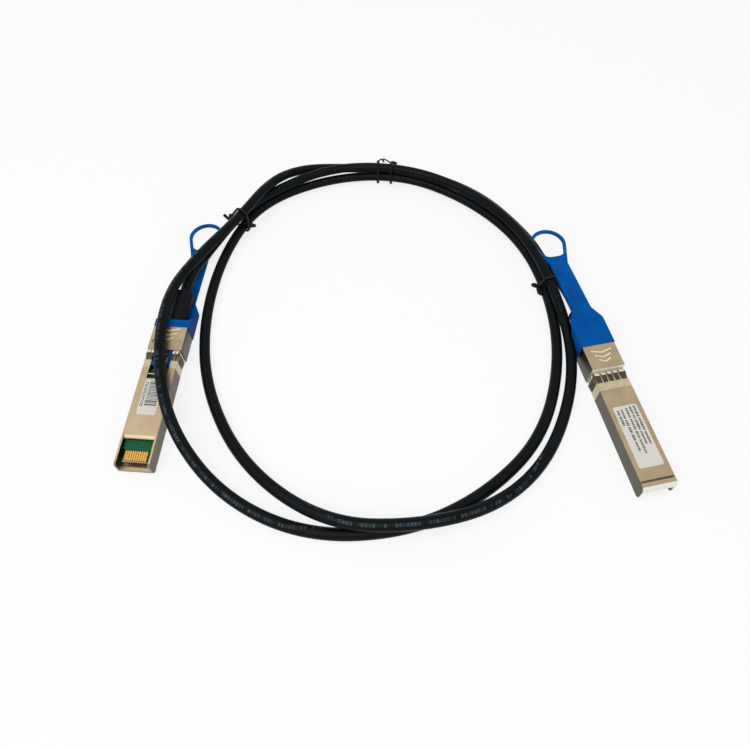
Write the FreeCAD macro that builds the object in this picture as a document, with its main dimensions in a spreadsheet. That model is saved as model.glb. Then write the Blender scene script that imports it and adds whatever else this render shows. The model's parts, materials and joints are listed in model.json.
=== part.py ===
import FreeCAD, Part
import math
import os
import Sketcher

# Direct attach copper cable: two plug-in modules of the small form-factor pluggable size,
# one at each end of a round twinaxial cable that is coiled in two and a half turns and held by
# three twist ties.  The right plug lies with its label side up, the left plug with its label
# side down.  Each plug is drawn in its own frame: X from the nose to the rear, Z up from the
# underside, Y across, and is then laid on the table.  The table is the plane Z = 0.  All in mm.

Vector, Rotation, Placement = FreeCAD.Vector, FreeCAD.Rotation, FreeCAD.Placement
doc = FreeCAD.newDocument("direct_attach_cable")
sheet = doc.addObject("Spreadsheet::Sheet", "Sizes")
nodes = []


class Size:
    """A number together with the spreadsheet expression that gives it."""

    def __init__(self, value, text):
        self.value, self.text = value, text

    def join(self, other, value, sign):
        text = other.text if isinstance(other, Size) else repr(other)
        return Size(value, "(%s %s %s)" % (self.text, sign, text))

    def __add__(self, other):
        return self.join(other, self.value + num(other), "+")

    __radd__ = __add__

    def __sub__(self, other):
        return self.join(other, self.value - num(other), "-")

    def __mul__(self, other):
        return self.join(other, self.value * num(other), "*")

    def __truediv__(self, other):
        return self.join(other, self.value / num(other), "/")

    def __neg__(self):
        return Size(-self.value, "(0 - %s)" % self.text)


def num(size):
    return size.value if isinstance(size, Size) else float(size)


def size(alias, value):
    row = size.row = getattr(size, "row", 0) + 1
    sheet.set("A%d" % row, alias)
    sheet.set("B%d" % row, str(value))
    sheet.setAlias("B%d" % row, alias)
    return Size(float(value), "Sizes." + alias)


def bind(obj, prop, value):
    if isinstance(value, Size):
        obj.setExpression(prop, value.text)


# ---------------------------------------------------------------- sizes
# Die-cast shell of a plug
body_length = size("body_length", 47.5)          # nose to the head's front shoulder
body_width = size("body_width", 13.4)
body_height = size("body_height", 8.5)
parting_height = size("parting_height", 4.4)     # where the top and bottom shells meet
side_wall = size("side_wall", 0.75)
floor_wall = size("floor_wall", 1.2)
roof_wall = size("roof_wall", 1.2)
nose_opening = size("nose_opening", 10.4)        # length without a floor, for the host connector
nose_chamfer = size("nose_chamfer", 1.1)
nose_bevel_length = size("nose_bevel_length", 1.0)   # bevel above the nose opening
nose_bevel_height = size("nose_bevel_height", 1.6)
nose_groove_place = size("nose_groove_place", 2.5)
nose_groove_width = size("nose_groove_width", 0.8)
nose_groove_depth = size("nose_groove_depth", 0.25)
sill_length = size("sill_length", 1.4)           # bevel on the floor's front edge
sill_height = size("sill_height", 0.7)
lip_thickness = size("lip_thickness", 1.2)
lip_gap = size("lip_gap", 2.0)                   # between the card's top and the nose lip
head_length = size("head_length", 10.5)
head_width = size("head_width", 14.0)
head_height = size("head_height", 10.7)
head_round = size("head_round", 0.6)
bore_height = size("bore_height", 5.0)           # axis of the cable above the underside
bore_lead = size("bore_lead", 1.5)                # bore ahead of the head
bore_radius = size("bore_radius", 2.35)
chevron_depth = size("chevron_depth", 0.25)
chevron_stroke = size("chevron_stroke", 0.55)
chevron_pitch = size("chevron_pitch", 2.1)
chevron_reach = size("chevron_reach", 2.4)       # half width of the smallest mark
chevron_growth = size("chevron_growth", 1.0)
chevron_sweep = size("chevron_sweep", 1.15)       # how far its middle lies ahead of its ends
dimple_radius = size("dimple_radius", 1.2)
dimple_depth = size("dimple_depth", 0.4)
# Card inside the shell
card_width = size("card_width", 9.4)
card_side_gap = size("card_side_gap", 0.3)       # wide end of the card to the shell's sides
card_thickness = size("card_thickness", 1.0)
card_height = size("card_height", 2.25)          # underside of the card above the shell's
card_setback = size("card_setback", 2.2)
card_clearance = size("card_clearance", 7.9)      # card's rear edge to the head
card_neck = size("card_neck", 7.2)               # where the card widens
card_bevel = size("card_bevel", 0.25)
rail_width = size("rail_width", 0.9)
rail_clearance = size("rail_clearance", 10.5)
pad_pitch = size("pad_pitch", 0.86)
pad_width = size("pad_width", 0.62)
pad_length = size("pad_length", 3.5)
pad_inset = size("pad_inset", 0.45)
pad_thickness = size("pad_thickness", 0.05)
pads_per_side = 10
chip_length = size("chip_length", 4.9)
chip_width = size("chip_width", 3.9)
chip_height = size("chip_height", 1.45)
chip_place = size("chip_place", 22.0)
# Spring-finger collar
collar_clearance = size("collar_clearance", 0.5)  # finger tips to the head
collar_band = size("collar_band", 3.2)
collar_sheet = size("collar_sheet", 0.2)
finger_length = size("finger_length", 4.4)
finger_rise = size("finger_rise", 0.45)
finger_gap = size("finger_gap", 0.9)
finger_crest = size("finger_crest", 3.0)         # from the band
finger_pitch = size("finger_pitch", 2.5)
side_finger_pitch = size("side_finger_pitch", 2.4)
finger_margin = size("finger_margin", 0.5)
top_fingers, side_fingers = 5, 3
# Latch in the underside
slot_length = size("slot_length", 12.9)          # slot in the floor, up to the head
slot_width = size("slot_width", 7.8)
tongue_width = size("tongue_width", 7.4)
tongue_thickness = size("tongue_thickness", 1.1)
tongue_bottom = size("tongue_bottom", 0.7)
tongue_reach = size("tongue_reach", 6.9)         # ahead of the head
tongue_bar = size("tongue_bar", 1.3)
tongue_web = size("tongue_web", 0.5)             # from the head's front to where the bars join
cam_length = size("cam_length", 1.2)             # bar that lifts the lever
cam_thickness = size("cam_thickness", 0.25)
tunnel_clearance = size("tunnel_clearance", 0.1)
shoulder_setback = size("shoulder_setback", 2.5)  # head's front to the rear face of the boss
boss_height = size("boss_height", 0.45)
boss_length = size("boss_length", 2.6)
boss_flat = size("boss_flat", 0.65)
lever_width = size("lever_width", 2.6)
lever_bottom = size("lever_bottom", 0.3)
lever_thickness = size("lever_thickness", 0.9)
lever_tail = size("lever_tail", 0.6)             # lever behind the boss
lever_length = size("lever_length", 8.2)         # from pin to shoulder
pivot_height = size("pivot_height", 0.65)
pin_radius = size("pin_radius", 0.35)
pin_clearance = size("pin_clearance", 0.04)
pin_length = size("pin_length", 9.4)
eye_radius = size("eye_radius", 0.6)
bridge_height = size("bridge_height", 2.1)
bridge_thickness = size("bridge_thickness", 0.5)
bridge_length = size("bridge_length", 1.3)
leaf_thickness = size("leaf_thickness", 0.15)
leaf_width = size("leaf_width", 2.2)
leaf_length = size("leaf_length", 4.6)
# Pull tab
tab_gap = size("tab_gap", 0.1)                   # yoke to the head's rear face
tab_travel = size("tab_travel", 2.0)             # pull that frees the latch
yoke_length = size("yoke_length", 3.4)
yoke_width = size("yoke_width", 14.3)
yoke_wall = size("yoke_wall", 1.0)
cheek_length = size("cheek_length", 7.5)
tab_thickness = size("tab_thickness", 1.4)
tab_top = size("tab_top", 10.9)
flare_length = size("flare_length", 12.2)
flare_taper = size("flare_taper", 5.4)
strip_width = size("strip_width", 8.2)
strip_round = size("strip_round", 3.0)
tab_length = size("tab_length", 56.4)            # yoke to the centre of the ring
ring_radius = size("ring_radius", 8.0)
ring_limb = size("ring_limb", 1.3)
ring_slope = size("ring_slope", 18.0)            # degrees, the sides running into the ring
hole_reach = size("hole_reach", 8.7)             # ring centre to the hole's end at the strip
hole_round = size("hole_round", 3.6)
left_droop = size("left_droop", 3.8)             # degrees, the strip's bend behind its root
right_droop = size("right_droop", -4.0)
# Strain relief and wires
boot_radius = size("boot_radius", 4.2)
boot_length = size("boot_length", 17.6)          # barrel, up to where the bare cable begins
sleeve_length = size("sleeve_length", 6.7)       # crimped sleeve, up to the boot's neck
boot_round = size("boot_round", 1.2)
boot_clearance = size("boot_clearance", 0.3)     # to the yoke of the pull tab
sleeve_lead = size("sleeve_lead", 1.1)           # sleeve ahead of the head
wire_radius = size("wire_radius", 0.5)
wire_pitch = size("wire_pitch", 1.02)
wire_lap = size("wire_lap", 1.8)                 # wire end lying on the card
# Labels
top_label_length = size("top_label_length", 24.2)
top_label_width = size("top_label_width", 9.8)
top_label_front = size("top_label_front", 7.6)
bottom_label_length = size("bottom_label_length", 14.4)
bottom_label_width = size("bottom_label_width", 7.6)
bottom_label_gap = size("bottom_label_gap", 0.6)  # to the slot
label_thickness = size("label_thickness", 0.1)
label_round = size("label_round", 0.8)
# Cable and ties
cable_radius = size("cable_radius", 2.25)
tie_radius = size("tie_radius", 0.6)
tie_gap = size("tie_gap", 0.3)                   # between a tie and the strands it holds
# Where the plugs lie: nose centre on the table and heading, degrees
left_x = size("left_x", -95.9)
left_y = size("left_y", -56.5)
left_heading = size("left_heading", 86.0)
right_x = size("right_x", 96.1)
right_y = size("right_y", -64.5)
right_heading = size("right_heading", 101.2)
doc.recompute()


# ---------------------------------------------------------------- helpers
def origin_plane(body, role):
    return [f for f in body.Origin.OriginFeatures if f.Role == role][0]


def new_body(label):
    body = doc.addObject("PartDesign::Body", label)
    body.Label = label
    body.AllowCompound = True
    return body


def new_sketch(body, plane, name, offset=0.0):
    """A sketch on an origin plane, moved along the plane's normal by offset."""
    sketch = body.newObject("Sketcher::SketchObject", name)
    sketch.AttachmentSupport = [(origin_plane(body, plane + "_Plane"), "")]
    sketch.MapMode = "FlatFace"
    sketch.AttachmentOffset = Placement(Vector(0, 0, num(offset)), Rotation())
    bind(sketch, "AttachmentOffset.Base.z", offset)
    return sketch


def fixings(geo, point, x, y):
    """Constraints that hold a point of a curve at x, y from the origin, with what drives them."""
    found = []
    for axis, value, line in (("DistanceX", x, -2), ("DistanceY", y, -1)):
        if not isinstance(value, Size) and abs(value) < 1e-9:
            found.append((Sketcher.Constraint("PointOnObject", geo, point, line), None))
        else:
            found.append((Sketcher.Constraint(axis, -1, 1, geo, point, num(value)), value))
    return found


def constrain(sketch, found):
    first = sketch.ConstraintCount
    sketch.addConstraint([constraint for constraint, value in found])
    for k, (constraint, value) in enumerate(found):
        bind(sketch, "Constraints[%d]" % (first + k), value)


def outline(sketch, corners, arc_centre=None):
    """A closed polygon whose every corner is held by its two distances from the origin.

    With arc_centre, its last side is an arc about that place on the sketch's first axis.
    """
    first, count = sketch.GeometryCount, len(corners)
    flat = [Vector(num(x), num(y), 0) for x, y in corners]
    sides = [Part.LineSegment(flat[k], flat[(k + 1) % count]) for k in range(count)]
    if arc_centre is not None:
        arm = flat[0] - Vector(num(arc_centre), 0, 0)
        round_it = Part.Circle(flat[0] - arm, Vector(0, 0, 1), arm.Length)
        half_turn = math.atan2(arm.y, arm.x)
        sides[-1] = Part.ArcOfCircle(round_it, -half_turn, half_turn)
    sketch.addGeometry(sides, False)
    found = []
    for k, (x, y) in enumerate(corners):
        after = first + (k + 1) % count
        found.append((Sketcher.Constraint("Coincident", first + k, 2, after, 1), None))
        found += fixings(first + k, 1, x, y)
    if arc_centre is not None:
        found.append((Sketcher.Constraint("DistanceX", -1, 1, first + count - 1, 3, num(arc_centre)),
                      arc_centre))
    constrain(sketch, found)


def rectangle(sketch, x0, x1, y0, y1):
    outline(sketch, [(x0, y0), (x1, y0), (x1, y1), (x0, y1)])


def circle(sketch, x, y, radius):
    centre = Vector(num(x), num(y), 0)
    geo = sketch.addGeometry(Part.Circle(centre, Vector(0, 0, 1), num(radius)), False)
    found = [(Sketcher.Constraint("Radius", geo, num(radius)), radius)]
    constrain(sketch, found + fixings(geo, 3, x, y))


def feature(body, kind, sketch, name, length, middle=False, back=False):
    made = body.newObject("PartDesign::" + kind, name)
    made.Profile = sketch
    made.Length = num(length)
    bind(made, "Length", length)
    made.Midplane = middle
    made.Reversed = back
    sketch.Visibility = False
    return made


def pad(body, sketch, name, length, middle=False, back=False):
    return feature(body, "Pad", sketch, name, length, middle, back)


def pocket(body, sketch, name, length, middle=False, back=False):
    """A cut; its volume must fall, or the cut points away from the solid."""
    doc.recompute()
    before = body.Shape.Volume
    made = feature(body, "Pocket", sketch, name, length, middle, back)
    doc.recompute()
    if not body.Shape.Volume < before - 1e-6:
        raise ValueError("%s removes nothing" % name)
    return made


def is_close(a, b):
    return abs(num(a) - num(b)) < 1e-3


def soften(body, kind, name, amount, test):
    """A Fillet or Chamfer on those edges of the body's last feature that pass the test."""
    doc.recompute()
    base = body.Tip
    edges = ["Edge%d" % (k + 1) for k, edge in enumerate(base.Shape.Edges) if test(edge)]
    made = body.newObject("PartDesign::" + kind, name)
    made.Base = (base, edges)
    prop = "Radius" if kind == "Fillet" else "Size"
    setattr(made, prop, num(amount))
    bind(made, prop, amount)
    return made


def keep(body):
    nodes.append(body)
    return body


def chevrons(body, plane_height, first, back):
    """Three V marks cut into a level face; their points look at the nose."""
    for k in range(3):
        x = first + chevron_pitch * k
        reach = chevron_reach + chevron_growth * k
        sketch = new_sketch(body, "XY", "ChevronSketch%d" % k, plane_height)
        outline(sketch, [(x, 0), (x + chevron_sweep, reach),
                         (x + chevron_sweep + chevron_stroke, reach), (x + chevron_stroke, 0),
                         (x + chevron_sweep + chevron_stroke, -reach), (x + chevron_sweep, -reach)])
        pocket(body, sketch, "Chevron%d" % k, chevron_depth, back=back)


head_rear = body_length + head_length
bore_start = body_length - bore_lead
collar_rear = body_length - collar_clearance - finger_length
collar_front = collar_rear - collar_band
card_rear = body_length - card_clearance
card_rear_width = body_width - side_wall * 2 - card_side_gap * 2
rail_rear = body_length - rail_clearance
slot_front = body_length - slot_length
latch_shoulder = body_length - shoulder_setback
pivot_place = latch_shoulder - lever_length
tongue_front = body_length - tongue_reach
tongue_fork = body_length + tongue_web
crimp_front = body_length - sleeve_lead
neck_front = crimp_front + sleeve_length
wire_landing = card_rear - wire_lap
bottom_label_front = slot_front - bottom_label_gap - bottom_label_length
slot_half = slot_width / 2
tunnel_bottom = tongue_bottom - tunnel_clearance
tunnel_top = tongue_bottom + tongue_thickness + tunnel_clearance
tab_front = head_rear + tab_gap
boot_front = tab_front + tab_travel + boot_clearance
boot_end = boot_front + boot_length
ring_centre = tab_front + tab_length


# ---------------------------------------------------------------- bottom shell
# The lower half of the casting: a tray without a floor at the nose, narrower by the collar's
# sheet where the collar sits, and the lower half of the head.  A slot in its floor and a flat
# tunnel through the head carry the pull tab's tongue; the latch pin is held in the two sides of
# the slot, and a bridge over its rear end holds the leaf spring.
def bottom_shell(side):
    body = new_body(side + "_bottom_shell")
    half, inner = body_width / 2, body_width / 2 - side_wall
    section = new_sketch(body, "YZ", "TraySection")
    outline(section, [(-half, 0), (half, 0), (half, parting_height), (inner, parting_height),
                      (inner, floor_wall), (-inner, floor_wall), (-inner, parting_height),
                      (-half, parting_height)])
    pad(body, section, "Tray", collar_front)
    half = body_width / 2 - collar_sheet
    section = new_sketch(body, "YZ", "CollarSeatSection", collar_front)
    outline(section, [(-half, collar_sheet), (half, collar_sheet), (half, parting_height),
                      (inner, parting_height), (inner, floor_wall), (-inner, floor_wall),
                      (-inner, parting_height), (-half, parting_height)])
    pad(body, section, "CollarSeat", body_length - collar_front)
    block = new_sketch(body, "XY", "HeadPlan")
    rectangle(block, body_length, head_rear, -head_width / 2, head_width / 2)
    pad(body, block, "HeadBlock", parting_height)
    for sign, name in ((1, "Left"), (-1, "Right")):
        rail = new_sketch(body, "XY", name + "RailPlan", floor_wall)
        wall, edge = inner * sign, (inner - rail_width) * sign
        low, high = (edge, wall) if sign > 0 else (wall, edge)
        rectangle(rail, nose_opening, rail_rear, low, high)
        pad(body, rail, name + "Rail", card_height - floor_wall)
    bridge = new_sketch(body, "XY", "BridgePlan", bridge_height)
    rectangle(bridge, body_length - bridge_length, body_length, -inner, inner)
    pad(body, bridge, "Bridge", bridge_thickness)
    opening = new_sketch(body, "XY", "NoseOpeningPlan")
    rectangle(opening, 0, nose_opening, -inner, inner)
    pocket(body, opening, "NoseOpening", floor_wall, back=True)
    ramp = new_sketch(body, "XZ", "NoseBevelSection")
    outline(ramp, [(0, 0), (nose_chamfer, 0), (0, nose_chamfer)])
    pocket(body, ramp, "NoseBevel", body_width, middle=True)
    sill = new_sketch(body, "XZ", "SillSection")
    outline(sill, [(nose_opening, 0), (nose_opening + sill_length, 0), (nose_opening, sill_height)])
    pocket(body, sill, "Sill", inner * 2, middle=True)
    slot = new_sketch(body, "XY", "TongueSlotPlan")
    rectangle(slot, slot_front, body_length, -slot_half, slot_half)
    pocket(body, slot, "TongueSlot", floor_wall, back=True)
    tunnel = new_sketch(body, "YZ", "TunnelSection", body_length)
    rectangle(tunnel, -slot_half, slot_half, tunnel_bottom, tunnel_top)
    pocket(body, tunnel, "Tunnel", head_length, back=True)
    hole = new_sketch(body, "XZ", "PinHoleSection")
    circle(hole, pivot_place, pivot_height, pin_radius)
    pocket(body, hole, "PinHole", pin_length, middle=True)
    bore = new_sketch(body, "YZ", "CableBoreSection", bore_start)
    circle(bore, 0, bore_height, bore_radius)
    pocket(body, bore, "CableBore", head_rear - bore_start, back=True)
    for sign, name in ((1, "Left"), (-1, "Right")):
        dimple = new_sketch(body, "XY", name + "DimplePlan")
        circle(dimple, body_length + head_length * 0.32, head_width * 0.34 * sign, dimple_radius)
        pocket(body, dimple, name + "Dimple", dimple_depth, back=True)
    chevrons(body, 0.0, body_length + head_length * 0.4, True)
    return keep(body)


# ---------------------------------------------------------------- top shell
# The upper half: roof and side walls, the lip that closes the nose above the card, and the
# raised upper half of the head with rounded shoulders and three V marks.
def top_shell(side):
    body = new_body(side + "_top_shell")
    half, inner = body_width / 2, body_width / 2 - side_wall
    roof = body_height - roof_wall
    section = new_sketch(body, "YZ", "CoverSection")
    outline(section, [(-half, parting_height), (-inner, parting_height), (-inner, roof), (inner, roof),
                      (inner, parting_height), (half, parting_height), (half, body_height),
                      (-half, body_height)])
    pad(body, section, "Cover", collar_front)
    half = body_width / 2 - collar_sheet
    section = new_sketch(body, "YZ", "CollarSeatSection", collar_front)
    outline(section, [(-half, parting_height), (-inner, parting_height), (-inner, roof), (inner, roof),
                      (inner, parting_height), (half, parting_height),
                      (half, body_height - collar_sheet), (-half, body_height - collar_sheet)])
    pad(body, section, "CollarSeat", body_length - collar_front)
    lip = new_sketch(body, "YZ", "LipSection")
    rectangle(lip, -inner, inner, card_height + card_thickness + lip_gap, body_height)
    pad(body, lip, "Lip", lip_thickness)
    block = new_sketch(body, "XY", "HeadPlan", parting_height)
    rectangle(block, body_length, head_rear, -head_width / 2, head_width / 2)
    pad(body, block, "HeadBlock", head_height - parting_height)
    bore = new_sketch(body, "YZ", "CableBoreSection", bore_start)
    circle(bore, 0, bore_height, bore_radius)
    pocket(body, bore, "CableBore", head_rear - bore_start, back=True)
    chevrons(body, head_height, body_length + head_length * 0.24, False)
    bevel = new_sketch(body, "XZ", "NoseTopBevelSection")
    outline(bevel, [(0, body_height), (0, body_height - nose_bevel_height), (nose_bevel_length, body_height)])
    pocket(body, bevel, "NoseTopBevel", body_width, middle=True)
    groove = new_sketch(body, "XY", "NoseGroovePlan", body_height)
    rectangle(groove, nose_groove_place, nose_groove_place + nose_groove_width, -body_width / 2, body_width / 2)
    pocket(body, groove, "NoseGroove", nose_groove_depth)
    soften(body, "Fillet", "HeadRound", head_round,
           lambda e: len(e.Vertexes) == 2 and all(is_close(v.Z, head_height) for v in e.Vertexes)
           and is_close(e.Vertexes[0].Y, e.Vertexes[1].Y)
           and is_close(abs(e.Vertexes[0].Y), head_width / 2))
    return keep(body)


# ---------------------------------------------------------------- spring collar
# Sheet-metal collar round the shell: a closed band and, behind it, bowed fingers that touch the
# cage, six on top, three on each side and two on each side of the latch below.
def emi_collar(side):
    body = new_body(side + "_emi_collar")
    half = body_width / 2
    band = new_sketch(body, "YZ", "BandSection", collar_front)
    rectangle(band, -half, half, 0, body_height)
    rectangle(band, -half + collar_sheet, half - collar_sheet, collar_sheet, body_height - collar_sheet)
    pad(body, band, "Band", collar_band)
    crest, tip = collar_rear + finger_crest, collar_rear + finger_length

    def bowed(level, sign):
        """Side view of a finger whose outer face lies at level; sign points outwards."""
        sheet_back = collar_sheet * -sign
        rise = finger_rise * sign
        return [(collar_rear, level), (crest, level + rise), (tip, level),
                (tip, level + sheet_back), (crest, level + rise + sheet_back),
                (collar_rear, level + sheet_back)]

    over = new_sketch(body, "XZ", "TopProfile")
    outline(over, bowed(body_height, 1))
    pad(body, over, "TopFingers", body_width - finger_margin * 2, middle=True)
    for k in range(top_fingers - 1):
        middle = finger_pitch * (k - (top_fingers - 2) / 2.0)
        gap = new_sketch(body, "XY", "TopGap%d" % k, body_height - collar_sheet)
        rectangle(gap, collar_rear, tip, middle - finger_gap / 2, middle + finger_gap / 2)
        pocket(body, gap, "TopGap%dCut" % k, collar_sheet + finger_rise * 2, back=True)
    for sign, name in ((1, "Left"), (-1, "Right")):
        profile = new_sketch(body, "XY", name + "Profile", body_height / 2)
        outline(profile, bowed(half * sign, sign))
        pad(body, profile, name + "Fingers", body_height - finger_margin * 2, middle=True)
        for k in range(side_fingers - 1):
            middle = body_height / 2 + side_finger_pitch * (k - (side_fingers - 2) / 2.0)
            gap = new_sketch(body, "XZ", name + "Gap%d" % k)
            rectangle(gap, collar_rear, tip, middle - finger_gap / 2, middle + finger_gap / 2)
            pocket(body, gap, name + "Gap%dCut" % k, half * 1.5, back=sign < 0)
    below = new_sketch(body, "XZ", "BottomProfile")
    outline(below, bowed(0.0, -1))
    pad(body, below, "BottomFingers", body_width - finger_margin * 2, middle=True)
    passage = new_sketch(body, "XY", "LatchPassagePlan", collar_sheet)
    rectangle(passage, collar_front, tip, -slot_half, slot_half)
    pocket(body, passage, "LatchPassage", collar_sheet + finger_rise * 2)
    for sign, name in ((1, "Left"), (-1, "Right")):
        gap = new_sketch(body, "XY", name + "BottomGap", collar_sheet)
        middle = (slot_half + half - finger_margin) / 2 * sign
        rectangle(gap, collar_rear, tip, middle - finger_gap / 4, middle + finger_gap / 4)
        pocket(body, gap, name + "BottomGapCut", collar_sheet + finger_rise * 2)
    return keep(body)


# ---------------------------------------------------------------- card and what is on it
# Printed circuit card with a narrow, bevelled edge at the nose, ten gold contacts on each face,
# and the small memory chip that tells the host what cable this is.
def paddle_card(side):
    body = new_body(side + "_paddle_card")
    plan = new_sketch(body, "XY", "CardPlan", card_height)
    narrow, wide = card_width / 2, card_rear_width / 2
    outline(plan, [(card_setback, -narrow), (card_neck, -narrow), (card_neck, -wide),
                   (card_rear, -wide), (card_rear, wide), (card_neck, wide), (card_neck, narrow),
                   (card_setback, narrow)])
    pad(body, plan, "Card", card_thickness)
    soften(body, "Chamfer", "EdgeBevel", card_bevel,
           lambda e: is_close(e.BoundBox.XMax, card_setback)
           and e.BoundBox.YLength > num(card_width) / 2)
    return keep(body)


def contact_pads(side):
    body = new_body(side + "_contact_pads")
    for name, level in (("Lower", card_height - pad_thickness), ("Upper", card_height + card_thickness)):
        sketch = new_sketch(body, "XY", name + "Row", level)
        start = card_setback + pad_inset
        for k in range(pads_per_side):
            middle = pad_pitch * (k - (pads_per_side - 1) / 2.0)
            rectangle(sketch, start, start + pad_length, middle - pad_width / 2, middle + pad_width / 2)
        pad(body, sketch, name + "Pads", pad_thickness)
    return keep(body)


def memory_chip(side):
    body = new_body(side + "_memory_chip")
    plan = new_sketch(body, "XY", "ChipPlan", card_height + card_thickness)
    rectangle(plan, chip_place - chip_length / 2, chip_place + chip_length / 2, -chip_width / 2, chip_width / 2)
    pad(body, plan, "Chip", chip_height)
    return keep(body)


# ---------------------------------------------------------------- latch
# The lever hangs on a cross pin in the slot.  Its wedge-shaped boss stands below the plug and
# catches in the cage; the tongue's cam bar runs under the wedge and lifts it when the tab is
# pulled, and a leaf spring under the bridge presses it down again.
def latch_lever(side):
    body = new_body(side + "_latch_lever")
    top = lever_bottom + lever_thickness
    wedge = latch_shoulder - boss_length
    end = latch_shoulder + lever_tail
    profile = new_sketch(body, "XZ", "LeverProfile")
    outline(profile, [(pivot_place, lever_bottom), (wedge, lever_bottom),
                      (latch_shoulder - boss_flat, -boss_height), (latch_shoulder, -boss_height),
                      (latch_shoulder, lever_bottom), (end, lever_bottom), (end, top),
                      (pivot_place, top)])
    pad(body, profile, "Lever", lever_width, middle=True)
    eye = new_sketch(body, "XZ", "EyeProfile")
    circle(eye, pivot_place, pivot_height, eye_radius)
    pad(body, eye, "Eye", lever_width, middle=True)
    hole = new_sketch(body, "XZ", "PinHoleProfile")
    circle(hole, pivot_place, pivot_height, pin_radius + pin_clearance)
    pocket(body, hole, "PinHole", lever_width * 2, middle=True)
    return keep(body)


def latch_pin(side):
    body = new_body(side + "_latch_pin")
    section = new_sketch(body, "XZ", "PinSection")
    circle(section, pivot_place, pivot_height, pin_radius)
    pad(body, section, "Pin", pin_length, middle=True)
    return keep(body)


def latch_spring(side):
    body = new_body(side + "_latch_spring")
    low, high = lever_bottom + lever_thickness, bridge_height - leaf_thickness
    rear = body_length - bridge_length / 4
    front = rear - leaf_length
    profile = new_sketch(body, "XZ", "LeafProfile")
    outline(profile, [(front, low), (front + leaf_length / 5, low), (rear - leaf_length / 4, high),
                      (rear, high), (rear, high + leaf_thickness),
                      (rear - leaf_length / 4, high + leaf_thickness),
                      (front + leaf_length / 5, low + leaf_thickness), (front, low + leaf_thickness)])
    pad(body, profile, "Leaf", leaf_width, middle=True)
    return keep(body)


# ---------------------------------------------------------------- pull tab
# One moulding: a yoke round the cable behind the head, with slanting cheeks, a flared root, a
# flat strip that bends a little, the finger ring, and below the forked tongue that runs forward
# through the head.  The strip's plan is cut out of a bent band, so the bend keeps its width.
def tab_band(side, droop):
    """Side view of the strip, far wider than it needs to be."""
    band = new_body(side + "_tab_band")
    knee, tip = tab_front + flare_length + flare_taper, ring_centre + ring_radius
    lower = tab_top - tab_thickness
    bend = Size(math.tan(math.radians(num(droop))), "tan(%s * 1 deg)" % droop.text)
    drop = (tip - knee) * bend
    profile = new_sketch(band, "XZ", "BandProfile")
    outline(profile, [(tab_front, tab_top), (tab_front, lower), (knee, lower), (tip, lower + drop),
                      (tip, tab_top + drop), (knee, tab_top)])
    pad(band, profile, "Band", yoke_width * 2, middle=True)
    return band


def tab_plan(side):
    """Plan view of the strip and its ring, far thicker than it needs to be."""
    plan = new_body(side + "_tab_plan")
    flare, half, wide = tab_front + flare_length, strip_width / 2, yoke_width / 2
    slope = math.radians(num(ring_slope))
    sine = Size(math.sin(slope), "sin(%s * 1 deg)" % ring_slope.text)
    cosine = Size(math.cos(slope), "cos(%s * 1 deg)" % ring_slope.text)
    touch_x, touch_y = ring_centre - ring_radius * sine, ring_radius * cosine
    waist = touch_x - (touch_y - half) * cosine / sine
    neck = flare + flare_taper
    root = new_sketch(plan, "XY", "TabPlan")
    outline(root, [(touch_x, touch_y), (waist, half), (neck, half), (flare, wide), (tab_front, wide),
                   (tab_front, -wide), (flare, -wide), (neck, -half), (waist, -half),
                   (touch_x, -touch_y)], arc_centre=ring_centre)
    pad(plan, root, "Tab", tab_top * 2)
    hole = new_sketch(plan, "XY", "HolePlan")
    inside, end = ring_radius - ring_limb, ring_centre - hole_reach
    rise_x, rise_y = ring_centre - inside * sine, inside * cosine
    end_y = rise_y - (rise_x - end) * sine / cosine
    outline(hole, [(rise_x, rise_y), (end, end_y), (end, -end_y), (rise_x, -rise_y)],
            arc_centre=ring_centre)
    pocket(plan, hole, "Hole", tab_top * 2, back=True)
    soften(plan, "Fillet", "FlareRound", strip_round,
           lambda e: e.BoundBox.ZLength > 1 and (is_close(e.Vertexes[0].X, flare)
                                                 or is_close(e.Vertexes[0].X, neck)))
    soften(plan, "Fillet", "HoleRound", hole_round,
           lambda e: e.BoundBox.ZLength > 1 and is_close(e.Vertexes[0].X, end))
    return plan


def tab_frame(side):
    """Yoke, cheeks and forked tongue."""
    frame = new_body(side + "_tab_frame")
    wide = yoke_width / 2
    yoke = new_sketch(frame, "YZ", "YokeSection", tab_front)
    rectangle(yoke, -wide, wide, 0, tab_top)
    circle(yoke, 0, bore_height, boot_radius + boot_clearance)
    pad(frame, yoke, "Yoke", yoke_length)
    rear = tab_front + yoke_length
    for sign, name in ((1, "Left"), (-1, "Right")):
        cheek = new_sketch(frame, "XZ", name + "CheekProfile", (wide - yoke_wall / 2) * -sign)
        outline(cheek, [(rear, 0), (rear + cheek_length, tab_top - tab_thickness),
                        (rear, tab_top - tab_thickness)])
        pad(frame, cheek, name + "Cheek", yoke_wall, middle=True)
    plate = new_sketch(frame, "XY", "TonguePlan", tongue_bottom)
    half, inner = tongue_width / 2, tongue_width / 2 - tongue_bar
    outline(plate, [(tongue_front, -half), (tab_front, -half), (tab_front, half), (tongue_front, half),
                    (tongue_front, inner), (tongue_fork, inner), (tongue_fork, -inner),
                    (tongue_front, -inner)])
    pad(frame, plate, "Tongue", tongue_thickness)
    for sign, name in ((1, "Left"), (-1, "Right")):
        hook = new_sketch(frame, "XY", name + "HookPlan")
        low, high = (inner, half) if sign > 0 else (-half, -inner)
        rectangle(hook, tongue_front, tongue_front + cam_length, low, high)
        pad(frame, hook, name + "Hook", tongue_bottom)
    cam = new_sketch(frame, "XY", "CamPlan")
    rectangle(cam, tongue_front, tongue_front + cam_length, -half, half)
    pad(frame, cam, "Cam", cam_thickness)
    return frame


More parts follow.
